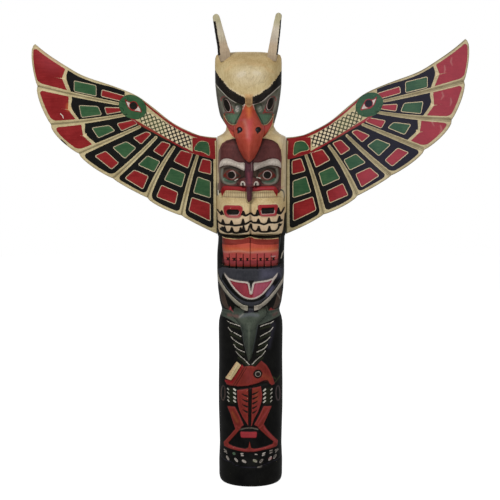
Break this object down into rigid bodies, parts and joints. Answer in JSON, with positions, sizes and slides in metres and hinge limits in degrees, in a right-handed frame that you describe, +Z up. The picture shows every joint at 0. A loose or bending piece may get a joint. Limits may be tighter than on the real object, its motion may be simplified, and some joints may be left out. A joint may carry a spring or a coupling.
{
  "type": "totem pole",
  "caption": "Carved and painted wooden totem pole: a horned, winged bird over a face, paws, claws, a raven's head and a salmon, standing on a round foot.",
  "frame": {"origin": "middle of the flat round foot, at the trunk's axis", "axes": "+Z up the trunk to the horns; the carved front faces -Y; +X to the viewer's right, along the right wing"},
  "size_m": [1.6743, 0.3299, 1.8262],
  "materials": {
    "painted_trunk": "carved softwood with hand-painted black, red, green and tan areas, semi-gloss",
    "painted_wing": "carved board, bare tan edges and strips, semi-gloss red, green and black panels",
    "horn_wood": "weathered grey-tan slat with dark edges"
  },
  "bodies": {
    "root": {"pole": "painted_trunk", "left_wing": "painted_wing", "right_wing": "painted_wing", "left_horn": "horn_wood", "right_horn": "horn_wood"}
  },
  "joints": []
}
